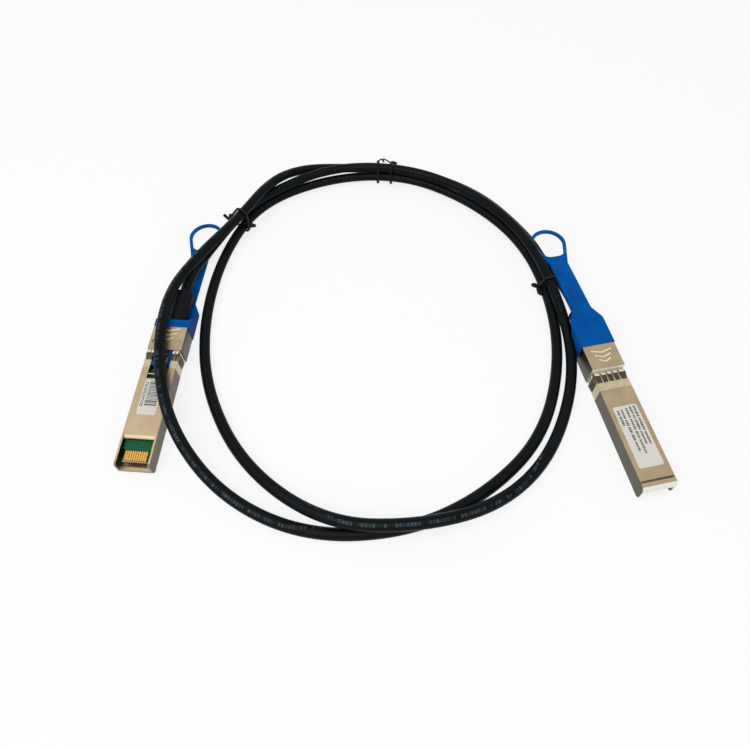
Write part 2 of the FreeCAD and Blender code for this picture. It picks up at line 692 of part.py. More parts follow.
def pull_tab(side, droop):
    band, plan, frame = tab_band(side, droop), tab_plan(side), tab_frame(side)
    strip = doc.addObject("Part::MultiCommon", side + "_tab_strip")
    strip.Shapes = [band, plan]
    whole = doc.addObject("Part::MultiFuse", side + "_pull_tab")
    whole.Shapes = [strip, frame]
    whole.Label = side + "_pull_tab"
    return keep(whole)


# ---------------------------------------------------------------- cable ends
# Metal sleeve crimped on the cable and clamped between the shells, the rubber boot behind it,
# and the four insulated wires that run from the sleeve to the card.
def crimp_sleeve(side):
    body = new_body(side + "_crimp_sleeve")
    section = new_sketch(body, "YZ", "SleeveSection", crimp_front)
    circle(section, 0, bore_height, bore_radius)
    pad(body, section, "Sleeve", neck_front - crimp_front)
    return keep(body)


def strain_boot(side):
    body = new_body(side + "_strain_boot")
    neck = new_sketch(body, "YZ", "NeckSection", neck_front)
    circle(neck, 0, bore_height, bore_radius)
    pad(body, neck, "Neck", boot_front - neck_front)
    barrel = new_sketch(body, "YZ", "BarrelSection", boot_front)
    circle(barrel, 0, bore_height, boot_radius)
    pad(body, barrel, "Barrel", boot_end - boot_front)
    soften(body, "Chamfer", "EndRound", boot_round,
           lambda e: e.BoundBox.XLength < 1e-3 and is_close(e.BoundBox.XMin, boot_end))
    return keep(body)


def rounded_path(points, closed=False):
    """Straight runs joined by tangent arcs: each arc takes 0.45 of the shorter run it joins."""
    edges, radii, last = [], [], points[0]
    for k in range(1, len(points) - 1):
        before, after = points[k - 1] - points[k], points[k + 1] - points[k]
        turn = math.pi - before.getAngle(after)
        cut = 0.45 * min(before.Length, after.Length)
        radii.append(cut / math.tan(turn / 2))
        start = points[k] + before * (cut / before.Length)
        end = points[k] + after * (cut / after.Length)
        inward = (before * (1 / before.Length) + after * (1 / after.Length)).normalize()
        reach = radii[-1] * (1 / math.cos(turn / 2) - 1)
        edges.append(Part.LineSegment(last, start).toShape())
        edges.append(Part.Arc(start, points[k] + inward * reach, end).toShape())
        last = end
    edges.append(Part.LineSegment(last, points[-1]).toShape())
    return Part.Wire(edges), radii


def tube(label, wire, radius, sides=0):
    """A tube along a wire, round or with flat sides; prints its volume against its length."""
    spine = doc.addObject("Part::Feature", label + "_path")
    spine.Shape = wire
    first = wire.OrderedEdges[0] if hasattr(wire, "OrderedEdges") else wire.Edges[0]
    start = first.valueAt(first.FirstParameter)
    heading = first.tangentAt(first.FirstParameter)
    if sides:
        section = doc.addObject("Part::RegularPolygon", label + "_section")
        section.Polygon = sides
        section.Circumradius = num(radius)
        bind(section, "Circumradius", radius)
        area = sides / 2.0 * num(radius) ** 2 * math.sin(math.pi * 2 / sides)
    else:
        section = doc.addObject("Part::Circle", label + "_section")
        section.Radius = num(radius)
        bind(section, "Radius", radius)
        area = math.pi * num(radius) ** 2
    section.Placement = Placement(start, Rotation(Vector(0, 0, 1), heading))
    swept = doc.addObject("Part::Sweep", label)
    swept.Sections = [section]
    swept.Spine = (spine, [])
    swept.Solid = True
    swept.Frenet = False
    swept.Label = label
    doc.recompute()
    expected = area * wire.Length
    print("%s: length %.1f, volume %.1f, section times length %.1f"
          % (label, wire.Length, swept.Shape.Volume, expected))
    return swept


def wire_pairs(side):
    """Two pairs of insulated wires from the crimp sleeve down to the card."""
    level = num(card_height + card_thickness + wire_radius)
    runs = []
    for k in range(4):
        across = num(wire_pitch) * (k - 1.5)
        spread = across * 1.6
        points = [Vector(num(crimp_front), across, num(bore_height)),
                  Vector(num(crimp_front) - 2.0, across, num(bore_height)),
                  Vector(num(wire_landing) + 3.0, spread, level),
                  Vector(num(wire_landing), spread, level)]
        runs.append(tube("%s_wire_%d" % (side, k + 1), rounded_path(points)[0], wire_radius, 6))
    group = doc.addObject("Part::Compound", side + "_wire_pairs")
    group.Links = runs
    group.Label = side + "_wire_pairs"
    return keep(group)


# ---------------------------------------------------------------- labels
# Thin paper labels with rounded corners, one on each broad face.
def label(side, name, level, front, length, width):
    body = new_body("%s_%s" % (side, name))
    plan = new_sketch(body, "XY", "LabelPlan", level)
    rectangle(plan, front, front + length, -width / 2, width / 2)
    pad(body, plan, "Sheet", label_thickness)
    soften(body, "Fillet", "Corners", label_round,
           lambda e: e.BoundBox.ZLength > num(label_thickness) / 2)
    return keep(body)


# ---------------------------------------------------------------- the two plugs
def plug(side, droop, placement):
    first = len(nodes)
    bottom_shell(side)
    top_shell(side)
    emi_collar(side)
    paddle_card(side)
    contact_pads(side)
    memory_chip(side)
    latch_lever(side)
    latch_pin(side)
    latch_spring(side)
    pull_tab(side, droop)
    crimp_sleeve(side)
    strain_boot(side)
    wire_pairs(side)
    label(side, "top_label", body_height, top_label_front, top_label_length, top_label_width)
    label(side, "bottom_label", -label_thickness, bottom_label_front, bottom_label_length,
          bottom_label_width)
    doc.recompute()
    for node in nodes[first:]:
        node.Placement = placement


# Label side down, the plug rests on the nose's edge and on the taller head.
rise = math.atan((num(head_height) - num(body_height)) / num(body_length))
facing = Rotation(Vector(0, 0, 1), num(left_heading))
lying = facing * Rotation(Vector(0, 1, 0), -math.degrees(rise)) * Rotation(Vector(1, 0, 0), 180)
edge = Vector(0, 0, num(body_height))
left_place = Placement(Vector(num(left_x), num(left_y), 0) - lying.multVec(edge), lying)

# Label side up, the plug rests on the nose's lower edge and on the latch boss.
rise = math.atan(num(boss_height) / num(latch_shoulder - boss_flat - nose_chamfer))
facing = Rotation(Vector(0, 0, 1), num(right_heading))
standing = facing * Rotation(Vector(0, 1, 0), -math.degrees(rise))
edge = Vector(num(nose_chamfer), 0, 0)
ahead = facing.multVec(Vector(num(nose_chamfer), 0, 0))
right_place = Placement(Vector(num(right_x), num(right_y), 0) + ahead - standing.multVec(edge), standing)

plug("left", left_droop, left_place)
plug("right", right_droop, right_place)


# ---------------------------------------------------------------- cable
# Bare cable from boot to boot.  It leaves the left plug, goes round the coil two and a half
# times, first on top, then inside, then outside, and ends at the right plug.
def along(placement, distance):
    return placement.multVec(Vector(num(boot_end) + distance, 0, num(bore_height)))


middle_points = [
    # from the left plug to the left tie
    (-85.2, 42.5, 5.8), (-75.5, 64.5, 4.2),
    # pass 1, on top of the bundle
    (-62.2, 80.0, 4.6), (-29.2, 99.2, 8.9), (9.1, 98.9, 8.9), (41.1, 81.2, 8.9), (60.7, 53.0, 8.9),
    (70.7, 23.5, 8.5),
    # right outer, bottom, left inner
    (75.6, -11.0, 2.4), (64.4, -47.6, 2.3), (40.3, -68.2, 5.0), (9.7, -76.6, 8.2), (-24.4, -73.4, 5.0),
    (-56.0, -55.0, 2.3), (-75.0, -23.7, 2.3), (-81.3, 10.3, 2.3), (-77.4, 46.1, 3.8),
    # pass 2, inside
    (-59.4, 75.0, 4.0), (-28.3, 95.4, 4.0), (8.9, 96.6, 4.0), (40.3, 79.5, 4.0), (60.1, 52.2, 4.0),
    (68.3, 23.0, 4.0),
    # right inner, bottom, left outer, over the left plug
    (69.7, -9.4, 2.4), (60.0, -43.7, 2.3), (34.1, -66.3, 2.3), (5.1, -78.0, 2.3), (-31.2, -79.6, 2.3),
    (-62.6, -66.2, 3.2), (-83.9, -43.7, 11.3), (-93.7, -14.8, 14.4), (-95.7, 14.6, 14.3),
    (-89.9, 38.5, 11.2), (-73.0, 64.9, 9.0),
    # pass 3, outside, towards the right plug
    (-59.9, 89.2, 9.7), (-45.4, 102.5, 6.5), (-25.9, 105.7, 4.0), (9.8, 103.6, 4.0), (45.4, 87.4, 4.0),
    (65.6, 55.9, 4.0), (72.9, 36.0, 4.0)]
route = ([along(left_place, 0.0), along(left_place, 9.45)] + [Vector(*p) for p in middle_points]
         + [along(right_place, 12.5), along(right_place, 0.0)])
path, radii = rounded_path(route)
print("smallest bend radius %.1f, all: %s" % (min(radii), " ".join("%.0f" % r for r in radii)))
cable = keep(tube("cable_jacket", path, cable_radius))


# ---------------------------------------------------------------- ties
# Each tie is a stiff wire wrapped round the strands, with its twisted end beside it.  The top one
# goes round twice and crosses over between its turns.
def turn_of_wire(x, y, run, held):
    """A closed path round the strands nearest to x, y, square to run; held says how many."""
    centre, across, up = Vector(x, y, 0), Vector(run.y, -run.x, 0), Vector(0, 0, 1)
    reach = 16.0
    corner = centre - across * reach - up * reach
    cut = Part.Face(Part.makePolygon([corner, corner + across * reach * 2,
                                      corner + across * reach * 2 + up * reach * 3,
                                      corner + up * reach * 3, corner]))
    strands = sorted([v.Point for v in path.section(cut).Vertexes],
                     key=lambda p: Vector(p.x - x, p.y - y, 0).Length)[:held]
    spread = num(cable_radius) + num(tie_gap) + num(tie_radius)
    if held > 2:
        return Part.Face(Part.makePolygon(strands + strands[:1])).makeOffset2D(spread).OuterWire
    a, b = strands
    lean = (b - a).normalize()
    side = lean.cross(run)
    return Part.Wire([Part.LineSegment(a + side * spread, b + side * spread).toShape(),
                      Part.Arc(b + side * spread, b + lean * spread, b - side * spread).toShape(),
                      Part.LineSegment(b - side * spread, a - side * spread).toShape(),
                      Part.Arc(a - side * spread, a - lean * spread, a + side * spread).toShape()])


def tie(name, x, y, heading, held, steps, tails):
    """One turn per step along the strands; tails go from the first turn, or on to the last."""
    centre, run = Vector(x, y, 0), Vector(math.cos(heading), math.sin(heading), 0)
    across, up = Vector(run.y, -run.x, 0), Vector(0, 0, 1)
    turns = [turn_of_wire(x + run.x * step, y + run.y * step, run, held) for step in steps]
    parts = [tube("%s_turn_%d" % (name, k + 1), turn, tie_radius, 6) for k, turn in enumerate(turns)]
    for k, (offsets, crosses) in enumerate(tails):
        points = [centre + across * a + run * b + up * c for a, b, c in offsets]
        points.insert(0, turns[0].distToShape(Part.Vertex(points[0]))[1][0][0])
        if crosses:
            points.append(turns[-1].distToShape(Part.Vertex(points[-1]))[1][0][0])
        parts.append(tube("%s_tail_%d" % (name, k + 1), rounded_path(points)[0], tie_radius, 6))
    whole = doc.addObject("Part::MultiFuse", name)
    whole.Shapes = parts
    whole.Label = name
    return keep(whole)


tie("left_tie", -72.9, 64.5, math.radians(60), 3, [0.0],
    [([(-8.2, -2.4, 6.6), (-10.6, -4.4, 6.4)], False)])
tie("top_tie", -5.0, 100.1, math.radians(-1), 3, [0.0, 6.7],
    [([(-7.6, 1.6, 9.4), (-8.3, 3.4, 9.8), (-7.6, 5.2, 9.4)], True)])
tie("right_tie", 69.7, 21.7, math.radians(-82), 2, [0.0],
    [([(5.4, 0.2, 6.6), (8.8, 0.0, 6.9)], False), ([(4.6, 2.6, 4.6), (5.6, 3.6, 4.4)], False)])


# ---------------------------------------------------------------- checks and files
doc.recompute()
for node in nodes:
    if node.Name.startswith("left_") and not node.Name.startswith("left_tie"):
        node.Placement = left_place
    if node.Name.startswith("right_") and not node.Name.startswith("right_tie"):
        node.Placement = right_place
for obj in doc.Objects:
    if "Invalid" in obj.State or "Error" in obj.State:
        raise ValueError("%s failed: %s" % (obj.Label, obj.State))
os.makedirs("parts", exist_ok=True)
for node in nodes:
    if node.Shape.isNull() or not node.Shape.isValid() or node.Shape.Volume <= 0:
        raise ValueError("%s has no valid shape" % node.Label)
    node.Shape.exportStep("parts/%s.step" % node.Label)
print("%d nodes written" % len(nodes))
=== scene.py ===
import json
import math
import random

import bpy
from mathutils import Matrix, Vector

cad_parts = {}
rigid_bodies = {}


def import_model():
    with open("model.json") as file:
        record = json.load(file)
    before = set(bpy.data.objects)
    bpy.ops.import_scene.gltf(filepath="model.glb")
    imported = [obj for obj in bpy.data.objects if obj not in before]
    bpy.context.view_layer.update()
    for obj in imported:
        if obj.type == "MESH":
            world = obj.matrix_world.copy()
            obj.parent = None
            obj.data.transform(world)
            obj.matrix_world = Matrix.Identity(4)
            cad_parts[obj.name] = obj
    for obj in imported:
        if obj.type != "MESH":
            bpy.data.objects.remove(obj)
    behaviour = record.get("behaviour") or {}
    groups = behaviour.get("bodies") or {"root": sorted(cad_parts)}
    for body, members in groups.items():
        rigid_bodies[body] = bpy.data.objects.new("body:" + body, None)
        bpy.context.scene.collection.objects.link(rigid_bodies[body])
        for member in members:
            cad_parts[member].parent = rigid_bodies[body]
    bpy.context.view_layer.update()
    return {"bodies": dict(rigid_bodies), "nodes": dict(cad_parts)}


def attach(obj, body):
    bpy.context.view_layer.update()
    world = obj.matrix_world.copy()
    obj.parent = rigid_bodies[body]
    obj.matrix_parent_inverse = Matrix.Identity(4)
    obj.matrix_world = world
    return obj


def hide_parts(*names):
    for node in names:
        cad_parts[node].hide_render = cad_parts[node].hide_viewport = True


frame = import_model()

# ---------------------------------------------------------------- die-cast shells
# Each plug has two halves cast in zinc and plated with satin nickel.  Broad faces are polished
# to a warm sheen, the sides carry painted shade, and the faces looking forward carry a painted
# highlight on the right plug and painted shade on the left.
SIDES = ("left", "right")


def linear(code):
    """An sRGB hex colour as linear red, green, blue, alpha."""
    parts = [int(code[k:k + 2], 16) / 255 for k in (1, 3, 5)]
    return [p / 12.92 if p <= 0.04045 else ((p + 0.055) / 1.055) ** 2.4 for p in parts] + [1.0]


def node(owner, kind, links=(), sockets=(), **settings):
    """Add a shader node; links pairs inputs with other nodes' outputs, sockets with values."""
    made = owner.node_tree.nodes.new(kind)
    for key, value in settings.items():
        setattr(made, key, value)
    for key, value in sockets:
        made.inputs[key].default_value = value
    for key, source in links:
        owner.node_tree.links.new(source, made.inputs[key])
    return made


def new_material(name):
    material = bpy.data.materials.new(name)
    material.use_nodes = True
    material.node_tree.nodes.clear()
    return material


def finish(name, colours, patch, roughness, wear=None, pits=None, detail=2.0,
           metallic=0.0, ior=1.5, specular=0.5):
    """A surface with cloudy patches between two sRGB colours and between two roughnesses.

    Sizes are in millimetres: patch is the colours', and wear the roughness's, which otherwise
    follows the colours.  Pits are given as size, strength and depth.
    """
    material = new_material(name)
    place = node(material, "ShaderNodeTexCoord").outputs["Object"]
    cloud = node(material, "ShaderNodeTexNoise", [("Vector", place)],
                 [("Scale", 1000 / patch), ("Detail", detail)])
    ramp = node(material, "ShaderNodeValToRGB", [("Fac", cloud.outputs["Fac"])])
    low, high = ramp.color_ramp.elements
    low.position, high.position = 0.3, 0.7
    low.color, high.color = linear(colours[0]), linear(colours[1])
    worn = cloud
    if wear:
        worn = node(material, "ShaderNodeTexNoise", [("Vector", place)], [("Scale", 1000 / wear)])
    sheen = node(material, "ShaderNodeMapRange", [("Value", worn.outputs["Fac"])],
                 [("To Min", roughness[0]), ("To Max", roughness[1])])
    links = [("Base Color", ramp.outputs["Color"]), ("Roughness", sheen.outputs["Result"])]
    if pits:
        size, strength, depth = pits
        grain = node(material, "ShaderNodeTexNoise", [("Vector", place)], [("Scale", 1000 / size)])
        bump = node(material, "ShaderNodeBump", [("Height", grain.outputs["Fac"])],
                    [("Strength", strength), ("Distance", depth / 1000)])
        links.append(("Normal", bump.outputs["Normal"]))
    shader = node(material, "ShaderNodeBsdfPrincipled", links,
                  [("Metallic", metallic), ("IOR", ior), ("Specular IOR Level", specular)])
    node(material, "ShaderNodeOutputMaterial", [("Surface", shader.outputs["BSDF"])])
    return material


def covered(material, where, colour):
    """Lay another sRGB colour over a finish, as far as where goes from 0 to 1."""
    shade = material.node_tree.nodes["Principled BSDF"].inputs["Base Color"]
    under = shade.links[0].from_socket
    over = node(material, "ShaderNodeMix", [("Factor", where), (6, under)], [(7, linear(colour))],
                data_type="RGBA")
    material.node_tree.links.new(over.outputs[2], shade)


def facing(material, axis, start, stop, low=0.0, high=1.0, either_way=False):
    """Low to high, as the share of a face's normal along an axis goes from start to stop."""
    normal = node(material, "ShaderNodeNewGeometry").outputs["Normal"]
    along = node(material, "ShaderNodeSeparateXYZ", [("Vector", normal)]).outputs[axis]
    if either_way:
        along = node(material, "ShaderNodeMath", [(0, along)], operation="ABSOLUTE").outputs[0]
    turned = node(material, "ShaderNodeMapRange", [("Value", along)],
                  [("From Min", start), ("From Max", stop), ("To Min", low), ("To Max", high)])
    return turned.outputs["Result"]


def dress(piece, *materials):
    """Give a piece these materials in place of its own."""
    piece.data.materials.clear()
    for material in materials:
        piece.data.materials.append(material)


def body_of(name):
    """The CAD body that a node rides on."""
    return [body for body, empty in frame["bodies"].items()
            if frame["nodes"][name].parent == empty][0]


def finished(name, slot, edge, *materials, angle=40):
    """A copy of a CAD node with its facets merged and its edges broken; it replaces the node."""
    piece = bpy.data.objects.new(name + "_finished", frame["nodes"][name].data.copy())
    bpy.context.scene.collection.objects.link(piece)
    bpy.ops.object.select_all(action="DESELECT")
    bpy.context.view_layer.objects.active = piece
    piece.select_set(True)
    bpy.ops.object.mode_set(mode="EDIT")
    bpy.ops.mesh.select_all(action="SELECT")
    bpy.ops.mesh.remove_doubles(threshold=0.000002)
    bpy.ops.mesh.dissolve_limited(angle_limit=math.radians(0.5))
    bpy.ops.object.mode_set(mode="OBJECT")
    rim = piece.modifiers.new("edge", "BEVEL")
    rim.width, rim.segments, rim.limit_method = edge, 2, "ANGLE"
    rim.angle_limit = math.radians(angle)
    bpy.ops.object.modifier_apply(modifier="edge")
    bpy.ops.object.shade_smooth_by_angle(angle=math.radians(32))
    # Flat faces shade flat, and only the broken edges roll over.
    even = piece.modifiers.new("even", "WEIGHTED_NORMAL")
    even.keep_sharp, even.weight = True, 100
    bpy.ops.object.modifier_apply(modifier="even")
    dress(piece, *materials)
    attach(piece, body_of(name))
    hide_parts(name)
    return piece


# Both noses point towards -Y, within 12 degrees.
forward = ("Y", -0.3, -0.6)


def nickel(side, painted_front):
    """Satin nickel on a zinc casting, with painted shade on its sides; the second argument is the
    colour painted on the faces that look forward for their light and shade.
    """
    # Flow marks of the casting show as patches of about 6 mm, and the satin grain is 0.1 mm.
    plated = finish("satin nickel-plated zinc casting " + side, ("#A28F73", "#B3A081"), 6.25,
                    (0.32, 0.42), pits=(0.111, 0.08, 0.04), detail=3.0)
    # Painted shade: faces turned sideways are painted dark.
    covered(plated, facing(plated, "X", 0.45, 0.85, either_way=True), "#565149")
    # The faces that look forward are painted with the given colour for light and shade: a painted
    # highlight on the right plug, painted shade on the left.  They are made less metallic there,
    # so that the painted colour shows.
    covered(plated, facing(plated, *forward), painted_front)
    plated.node_tree.links.new(facing(plated, *forward, 1.0, 0.35),
                               plated.node_tree.nodes["Principled BSDF"].inputs["Metallic"])
    return plated


# The V marks on the heads are struck in, and their floors carry a painted highlight, with grains
# of 0.3 mm.
mark_highlight = finish("nickel with painted highlight on marks", ("#F0E4C6", "#F0E4C6"), 0.333, (0.3, 0.45), metallic=0.5)
# Painted shade lies dark in the groove across the nose, in spots of about 0.8 mm.
groove_shade = finish("nickel with painted shade in groove", ("#4E4436", "#6A5D4A"), 0.833, (0.5, 0.5), metallic=0.8)

# Where the plugs lie.  Each matrix takes a plug, with its nose at the origin, its rear along +X
# and its label side up, to its place on the table.  The left plug lies on its label side, on the
# nose and the head's front corner; the right one lies on the nose's edge and the latch boss.
body_length, body_height, head_height = 0.0475, 0.0085, 0.0107
nose_edge, boss_place, boss_depth = 0.0011, 0.04435, 0.00045
left_nose, left_heading = Vector((-0.0959, -0.0565, 0)), math.radians(86)
right_nose, right_heading = Vector((0.0961, -0.0645, 0)), math.radians(101.2)
tilt = math.atan((head_height - body_height) / body_length)
laid = (Matrix.Rotation(left_heading, 4, "Z") @ Matrix.Rotation(-tilt, 4, "Y")
        @ Matrix.Rotation(math.pi, 4, "X"))
left_place = Matrix.Translation(left_nose - laid @ Vector((0, 0, body_height))) @ laid
tilt = math.atan(boss_depth / (boss_place - nose_edge))
flat = Matrix.Rotation(right_heading, 4, "Z")
laid = flat @ Matrix.Rotation(-tilt, 4, "Y")
edge = Vector((nose_edge, 0, 0))
right_place = Matrix.Translation(right_nose + flat @ edge - laid @ edge) @ laid
places = {"left": left_place, "right": right_place}

marks_start, marks_end, marks_half = 0.0495, 0.0578, 0.0047
groove_start, groove_end = 0.0024, 0.0034
# The left plug's forward faces get painted shade, the right one's a painted highlight.
for side, painted_front in (("left", "#857D70"), ("right", "#F1EEE6")):
    plated = nickel(side, painted_front)
    back = places[side].inverted()
    for part, face in (("top_shell", head_height), ("bottom_shell", 0.0)):
        shell = finished("%s_%s" % (side, part), "shell_metal", 0.00012, plated, mark_highlight, groove_shade)
        for polygon in shell.data.polygons:
            spot = back @ polygon.center
            on_marks = marks_start < spot.x < marks_end and abs(spot.y) < marks_half
            in_groove = part == "top_shell" and groove_start < spot.x < groove_end
            # Only the floors, which lie 0.01 to 0.3 mm below the face, differ from the rest: the
            # marks' floors take the painted highlight, the groove's floor the painted shade.
            if on_marks and 0.00001 < abs(spot.z - face) < 0.0003:
                polygon.material_index = 1
            elif in_groove and 0.0001 < body_height - spot.z < 0.0003:
                polygon.material_index = 2

# ---------------------------------------------------------------- spring collars
# A band of thin bright stainless sheet with bowed fingers, pressed and wrapped round the shells.
# Rolling leaves patches of about 1.4 mm in its sheen.
sheet_steel = finish("bright stainless spring sheet", ("#B9AB8F", "#C7B99C"), 1.43, (0.25, 0.36),
                     wear=1.11, metallic=1.0)
# The rising slope of each finger carries painted shade, and its tip a painted highlight, both in
# spots of 0.7 mm.
slope_shade = finish("spring sheet with painted shade", ("#3E372F", "#5A5046"), 0.667, (0.42, 0.42),
                   metallic=1.0)
tip_highlight = finish("finger ends with painted highlight", ("#D9D3C2", "#F0ECE0"), 0.667, (0.35, 0.35),
              metallic=1.0)
fingers_start, tips_start = 0.0427, 0.0456
for side in SIDES:
    collar = finished(side + "_emi_collar", "collar_metal", 0.00004, sheet_steel, slope_shade, tip_highlight)
    back = places[side].inverted()
    for polygon in collar.data.polygons:
        spot, lean = back @ polygon.center, (back.to_3x3() @ polygon.normal).x
        # Faces past fingers_start that lean a little towards the nose take the painted shade;
        # faces past tips_start that lean towards the rear take the painted highlight.
        if spot.x > fingers_start and -0.25 < lean < -0.04:
            polygon.material_index = 1
        elif spot.x > tips_start and lean > 0.15:
            polygon.material_index = 2

# ---------------------------------------------------------------- contact cards
# The shells of each plug hold a card of glass-fibre board under green solder lacquer, with
# gold-plated contacts at its front edge and one black chip.

# Woven glass shows through the lacquer as a fine mottle, with threads 0.5 mm apart.
lacquer = finish("green solder lacquer on glass-fibre board", ("#004428", "#046440"), 0.5,
                 (0.35, 0.35), specular=0.2)
# The bevelled front edge is bare board.
covered(lacquer, facing(lacquer, *forward), "#A89B72")
# Gold is plated hard and smooth; spots of 0.4 mm break its mirror up a little.
gold = finish("hard gold plating", ("#C9873A", "#E3AC52"), 0.4, (0.25, 0.38), wear=0.333,
              metallic=1.0)
# Epoxy comes even and dull out of an eroded mould with pits of 0.1 mm.
epoxy = finish("black moulded epoxy", ("#1A1A1B", "#1A1A1B"), 0.125, (0.55, 0.55),
               pits=(0.125, 0.1, 0.03))
for side in SIDES:
    for part, material in (("paddle_card", lacquer), ("contact_pads", gold),
                           ("memory_chip", epoxy)):
        dress(frame["nodes"]["%s_%s" % (side, part)], material)

# ---------------------------------------------------------------- latches
# In the slot of each underside a lever rocks on a cross pin, and a leaf spring presses it down.
# All three are of spring steel, and the sleeve crimped round the cable inside looks the same.

# Tumbled steel has a soft satin sheen, in patches of 2 mm.
spring_steel = finish("satin spring steel", ("#8E887D", "#A7A196"), 2.0, (0.3, 0.45), wear=0.667,
                      metallic=1.0)
for side in SIDES:
    finished(side + "_latch_lever", "latch_metal", 0.00006, spring_steel)
    for part in ("latch_pin", "latch_spring", "crimp_sleeve"):
        dress(frame["nodes"]["%s_%s" % (side, part)], spring_steel)

# ---------------------------------------------------------------- pull tabs
# Each tab is one moulding of blue nylon: a yoke behind the head, a strip with a finger ring, and
# a forked tongue that slides under the latch's lever.

# The melt's flow shows in patches of about 8 mm, and the eroded mould leaves pits of 0.1 mm that
# keep the plastic from shining.
nylon = finish("blue moulded nylon", ("#004C98", "#005BAB"), 8.33, (0.5, 0.5),
               pits=(0.111, 0.12, 0.04), ior=1.45, specular=0.06)
for side in SIDES:
    finished(side + "_pull_tab", "tab_plastic", 0.00022, nylon)

# ---------------------------------------------------------------- boots and wires
# A rubber boot round the cable's end behind each plug keeps it from kinking, and the insulated
# wires run on from there to the card.

# Moulded rubber is dull and a little cloudy, and extruded white plastic has a soft shine.
rubber = finish("black moulded rubber", ("#080A0D", "#101316"), 2.5, (0.5, 0.5), specular=0.1)
insulation = finish("white wire insulation", ("#D8D7D0", "#ECEBE6"), 1.67, (0.35, 0.35), ior=1.4)
for side in SIDES:
    finished(side + "_strain_boot", "boot_rubber", 0.0003, rubber, angle=25)
    dress(frame["nodes"][side + "_wire_pairs"], insulation)

# ---------------------------------------------------------------- labels
# Matt white paper labels, one stuck on each broad face of each plug, printed with plain bars
# only: rows of blocks along the top label, and a bar code with two short rows on the other.

# Paper fibres cloud the white in spots of 0.2 mm, and heat turns its coat dark where it prints.
paper = finish("matt white label paper", ("#D8D4CA", "#E2DED5"), 0.2, (0.75, 0.75),
               ior=1.45, specular=0.3)
ink = finish("thermal label ink", ("#3C3C40", "#5E5E62"), 0.0833, (0.6, 0.6))
ink_height, on_label = 0.02, 0.112


def printed(side, name, level, blocks):
    """Flat blocks of ink, each (along, across, length, width) in millimetres of the plug."""
    bpy.ops.object.select_all(action="DESELECT")
    bpy.ops.mesh.primitive_cube_add(size=1)
    piece = bpy.context.object
    made = [piece]
    for _ in blocks[1:]:
        block = piece.copy()
        block.data = piece.data.copy()
        bpy.context.scene.collection.objects.link(block)
        made.append(block)
    for block, (along, across, length, width) in zip(made, blocks):
        block.data.transform(
            places[side] @ Matrix.Translation((along / 1000, across / 1000, level / 1000))
            @ Matrix.Diagonal((length / 1000, width / 1000, ink_height / 1000, 1)))
        block.select_set(True)
    bpy.ops.object.join()
    piece.name = "%s_%s" % (side, name)
    dress(piece, ink)
    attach(piece, "cable_assembly")


dice = random.Random(7)
# Places on the plug in millimetres.  Rows are (across, start, end): four long ones, one short.
rows = ((3.4, 25.4, 30.2), (1.8, 14.4, 30.4), (-0.2, 14.0, 30.6), (-1.9, 16.8, 31.0),
        (-3.5, 16.6, 31.0))
letter_gap, word_gap = 0.16, 0.4
code_start, code_end, code_middle, bar_length = 33.4, 23.2, 0.7, 4.8
text_start, text_end, text_height, text_gap = 33.0, 24.0, 0.34, 0.3
for side in SIDES:
    dress(frame["nodes"][side + "_top_label"], paper)
    dress(frame["nodes"][side + "_bottom_label"], paper)
    blocks = []
    for across, start, end in rows:
        at = end
        while at > start:
            for _ in range(dice.randint(3, 8)):
                letter = dice.uniform(0.36, 0.62)
                blocks.append((at - letter / 2, across, letter, dice.choice((0.7, 0.8, 1.0))))
                at -= letter + letter_gap
            at -= word_gap
    printed(side, "top_print", body_height * 1000 + on_label, blocks)
    blocks = []
    # The bar code: bars across the plug, one after another along it.
    at = code_start
    while at > code_end:
        bar, gap = dice.choice((0.22, 0.34, 0.55)), dice.choice((0.24, 0.38))
        blocks.append((at - bar / 2, code_middle, bar, bar_length))
        at -= bar + gap
    for across in (-2.5, -3.1):
        at = text_start
        while at > text_end:
            word = dice.uniform(0.7, 1.8)
            blocks.append((at - word / 2, across, word - text_gap, text_height))
            at -= word
    printed(side, "bottom_print", -on_label, blocks)

# ---------------------------------------------------------------- cable
# Round twinaxial cable, 4.5 mm across, in a smooth black plastic jacket.  It leaves the left
# plug, goes two and a half times round the coil and ends in the right plug.
route = [
    # from the left plug to the left tie
    (-90.476, 21.065, 7.105), (-89.817, 30.482, 7.543), (-85.2, 42.5, 5.8), (-74.4, 63.3, 7.0),
    # pass 1, on top of the bundle
    (-61.7, 78.8, 8.2), (-29.2, 98.4, 8.7), (9.1, 97.9, 8.7), (41.4, 81.0, 8.9), (62.9, 55.1, 9.0),
    (72.4, 23.5, 8.9),
    # right outer, bottom, left inner
    (77.2, -11.0, 2.6), (63.2, -47.0, 2.3), (40.8, -68.7, 4.6), (9.7, -77.9, 8.0),
    (-24.4, -76.6, 6.3), (-56.0, -55.0, 2.3), (-75.0, -23.7, 2.3), (-81.3, 10.3, 2.3),
    (-77.4, 45.9, 3.9),
    # pass 2, inside
    (-63.7, 78.0, 3.4), (-28.3, 95.4, 4.0), (8.9, 96.6, 4.0), (40.6, 79.2, 4.0), (62.5, 54.0, 4.0),
    (71.2, 23.0, 3.6),
    # right inner, bottom, left outer, over the left plug
    (70.8, -9.4, 2.3), (58.6, -43.0, 2.3), (34.1, -65.2, 2.3), (5.1, -78.0, 2.3),
    (-31.2, -79.6, 2.3), (-62.6, -66.2, 3.2), (-83.9, -43.7, 11.3), (-93.7, -14.8, 14.4),
    (-95.7, 14.6, 14.3), (-87.7, 37.0, 11.4), (-70.8, 60.8, 12.2),
    # pass 3, outside, towards the right plug
    (-58.3, 83.2, 13.6), (-44.9, 98.2, 7.2), (-25.9, 102.2, 4.2), (9.8, 101.0, 4.0),
    (44.2, 85.6, 4.0), (66.1, 56.6, 4.0), (72.9, 36.0, 4.0), (78.533, 24.221, 5.930),
    (80.961, 11.959, 5.800)]
radius = 0.00225
